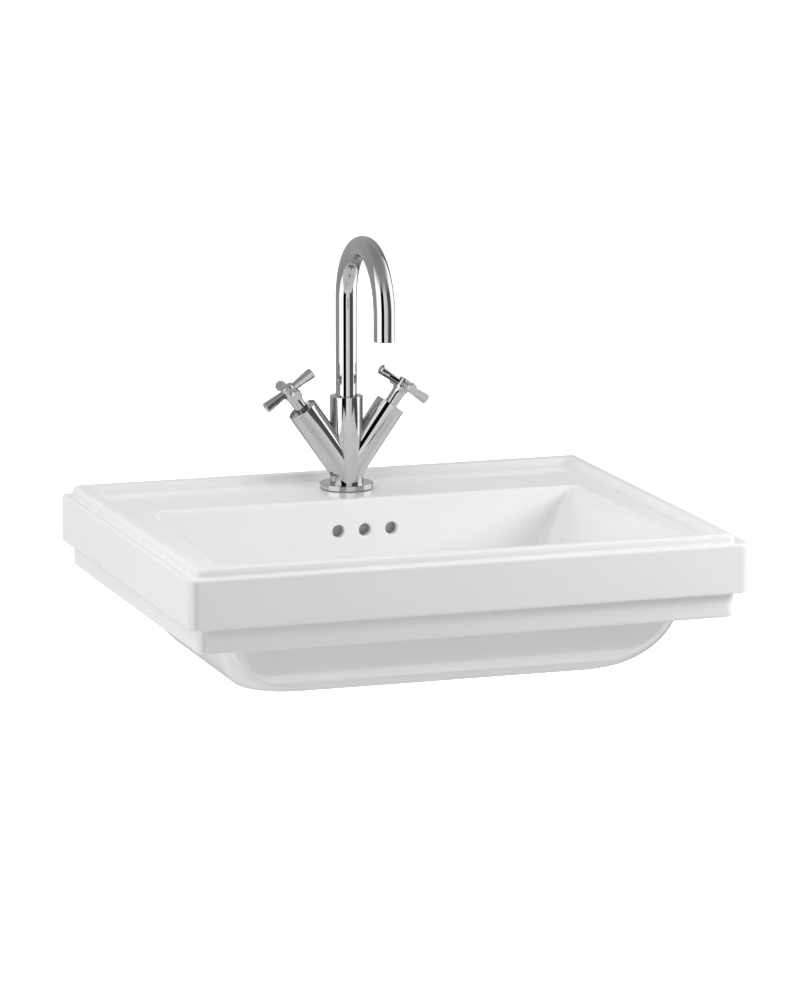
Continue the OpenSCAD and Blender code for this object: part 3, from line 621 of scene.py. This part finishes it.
def waste():
    """The plug's cap, domed on top and grooved for its seal."""
    axis = Matrix.Translation((0, WASTE_Y, 0))
    cap = spin("plug_cap_looks", [(0, -37.7), (3, -37.7), (3, -40.7), (15.8, -40.7, 0.4), (15.8, -39.1),
                                  (14, -39.1), (14, -36.3), (15.8, -36.3), (15.8, -34.7),
                                  (31, -34.7, 0.4), (31, -31.6, 0.9), (24, -30.25, 8), (0, -30.2)],
               axis, 128)
    finish_piece(cap, "plug", "chrome", ["plug_cap"])


def spring():
    """The coil round the plug's stem, built at one fixed length; the real coil shortens as the plug goes
    down.
    """
    foot, top, travel = -56.0, -40.7, 8
    sides, steps = 12, 32
    low = foot + SPRING_WIRE_R + 0.1
    high = top - SPRING_WIRE_R - 0.1
    bm = bmesh.new()
    rings = []
    for j in range(SPRING_TURNS * steps + 1):
        a = 2 * pi * j / steps
        z = mix(low, high, j / (SPRING_TURNS * steps))
        rings.append([])
        for k in range(sides):
            b = 2 * pi * k / sides
            r = SPRING_R + SPRING_WIRE_R * cos(b)
            rings[-1].append(bm.verts.new((r * cos(a), WASTE_Y + r * sin(a), z + SPRING_WIRE_R * sin(b))))
    for below, above in zip(rings, rings[1:]):
        bridge(bm, below, above)
    bm.faces.new(rings[0])
    bm.faces.new(rings[-1])
    coil = finish_piece(link("plug_spring_looks", bm), "fixed", "steel", ["plug_spring"])
    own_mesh(coil)


def carried_over():
    """Gives every CAD node that still shows the material of its slot."""
    slots = {part["node"]: part["material_slot"] for part in frame["record"]["subparts"]}
    for name, obj in frame["nodes"].items():
        if not obj.hide_render:
            obj.data.materials.clear()
            obj.data.materials.append(MATERIALS[slots[name]])


# ---------------------------------------------------------------- studio

CAMERA_AT = Vector((-1.7056, -5.3339, 1.1439))
TOWARDS_CAMERA = Vector((-0.3170, -0.9484))
FACING = Vector((0.9484, -0.3170))


# Soft light from each side, as (direction, strength): it falls off evenly round that direction.
LOBES = (((-1, 0, 0), 0.57), ((1, 0, 0), 0.10), ((0, 1, 0), 1.76), ((0, -0.7, 0.7), 0.38),
         ((0, 0, -1), 0.95))


def camera():
    """A long lens, slightly above the basin and to its left."""
    data = bpy.data.cameras.new("camera")
    data.lens = 194.75
    data.sensor_width = 36
    data.sensor_fit = "VERTICAL"
    data.sensor_height = 36
    data.clip_end = 60
    obj = bpy.data.objects.new("camera", data)
    obj.location = CAMERA_AT
    obj.rotation_euler = (radians(79.05), 0, radians(-18.505))
    bpy.context.scene.collection.objects.link(obj)
    bpy.context.scene.camera = obj


def area(name, at, towards, size, power):
    """A rectangular lamp, seen neither by the camera nor in reflections."""
    data = bpy.data.lights.new(name, "AREA")
    data.shape = "RECTANGLE"
    data.size, data.size_y = size
    data.energy = power
    obj = bpy.data.objects.new(name, data)
    obj.location = at
    obj.rotation_euler = (Vector(at) - Vector(towards)).to_track_quat("Z", "Y").to_euler()
    obj.visible_glossy = False
    obj.visible_camera = False
    bpy.context.scene.collection.objects.link(obj)


def world():
    """White to the camera, soft light for the ceramic, and strips of light and dark in reflections."""
    scene_world = bpy.data.worlds.new("studio")
    bpy.context.scene.world = scene_world
    scene_world.use_nodes = True
    tree = scene_world.node_tree
    tree.nodes.clear()
    new, connect = tree.nodes.new, tree.links.new
    out = new("ShaderNodeOutputWorld")
    where = new("ShaderNodeTexCoord")

    def dot(vector):
        node = new("ShaderNodeVectorMath")
        node.operation = "DOT_PRODUCT"
        node.inputs[1].default_value = vector
        connect(where.outputs["Generated"], node.inputs[0])
        return node.outputs["Value"]

    def math(operation, a, b):
        node = new("ShaderNodeMath")
        node.operation = operation
        for socket, value in zip(node.inputs, (a, b)):
            if isinstance(value, (int, float)):
                socket.default_value = value
            else:
                connect(value, socket)
        return node.outputs[0]

    turn = math("ARCTAN2", dot((*FACING, 0)), dot((*TOWARDS_CAMERA, 0)))
    turn = math("ADD", math("DIVIDE", turn, 2 * pi), 0.5)

    def stripes(strips):
        """Stops for a ramp over the azimuth, from (start angle, grey at start, grey at end) strips."""
        stops, ends = [], [s[0] for s in strips[1:]] + [180]
        for (start, first, last), end in zip(strips, ends):
            stops += [((start + 180.6) / 360, first), ((end + 179.4) / 360, last)]
        return ramp(tree, turn, stops)

    near = stripes([(-180, 0.29, 0.24), (-81, 1.0, 1.0), (-30, 0.0, 0.0), (0, 0.70, 0.48), (39, 0.08, 0.06),
                    (81, 1.0, 1.0), (136, 0.10, 0.25)])
    height = math("ADD", math("MULTIPLY", dot((0, 0, 1)), 0.5), 0.5)
    above = ramp(tree, height, [(0.55, 0.50), (0.80, 0.28), (1.0, 0.20)])
    share = ramp(tree, height, [(0.72, 0.0), (0.88, 1.0)])
    seen = new("ShaderNodeMix")
    seen.name = "seen"
    seen.data_type = "RGBA"
    connect(share, seen.inputs["Factor"])
    connect(near, seen.inputs["A"])
    connect(above, seen.inputs["B"])
    reflected = new("ShaderNodeBackground")
    reflected.name = "reflected"
    connect(seen.outputs["Result"], reflected.inputs["Color"])
    reflected.inputs["Strength"].default_value = 1.7
    glow = 0.0
    for i, (axis, strength) in enumerate(LOBES):
        lobe = math("MULTIPLY", math("MAXIMUM", dot(axis), 0.0), strength)
        lobe.node.name = f"lobe_{i}"
        glow = math("ADD", lobe, glow)
    soft = new("ShaderNodeBackground")
    connect(glow, soft.inputs["Color"])
    backdrop = new("ShaderNodeBackground")
    backdrop.inputs["Color"].default_value = (1, 1, 1, 1)
    backdrop.inputs["Strength"].default_value = 1.0
    ray = new("ShaderNodeLightPath")
    first = new("ShaderNodeMixShader")
    connect(ray.outputs["Is Glossy Ray"], first.inputs[0])
    connect(soft.outputs[0], first.inputs[1])
    connect(reflected.outputs[0], first.inputs[2])
    second = new("ShaderNodeMixShader")
    connect(ray.outputs["Is Camera Ray"], second.inputs[0])
    connect(first.outputs[0], second.inputs[1])
    connect(backdrop.outputs[0], second.inputs[2])
    connect(second.outputs[0], out.inputs[0])


def floor():
    """A pale floor below the basin, which gives the ceramic no light."""
    mesh = bpy.data.meshes.new("floor")
    mesh.from_pydata([(-9, -9, -0.8), (9, -9, -0.8), (9, 14, -0.8), (-9, 14, -0.8)], [], [(0, 1, 2, 3)])
    obj = bpy.data.objects.new("floor", mesh)
    bpy.context.scene.collection.objects.link(obj)
    material, tree, shader = node_material("floor")
    tree.links.new(ramp(tree, noise(tree, 3, 2), [(0.3, 0.90), (0.7, 0.93)]), shader.inputs["Base Color"])
    shader.inputs["Roughness"].default_value = 0.9
    shader.inputs["Emission Color"].default_value = (1, 1, 1, 1)
    shader.inputs["Emission Strength"].default_value = 1.0
    mesh.materials.append(material)
    obj.visible_glossy = False
    obj.visible_diffuse = False


def studio():
    """Camera, world, floor and lamps."""
    camera()
    world()
    floor()
    area("right_front", (0.95, -0.95, 0.5), (0.1, -0.47, 0.02), (0.4, 0.4), 6.6)
    area("bowl_fill", (-0.22, -0.75, 0.9), (0.05, -0.13, 0.0), (0.3, 0.3), 1.5)
    area("left_high", (-0.9, -0.3, 0.7), (0.2, -0.3, 0.0), (0.5, 0.5), 1.6)
    area("over_front", (0.0, -0.44, 0.55), (0, -0.02, 0.05), (0.6, 0.06), 0.15)
    view = bpy.context.scene.view_settings
    view.view_transform = "Standard"
    view.look = "None"
    view.exposure = 0.0
    view.gamma = 1.0


basin()
tap_body()
spout()
handle(-1, "left")
handle(1, "right")
waste()
spring()
carried_over()
studio()
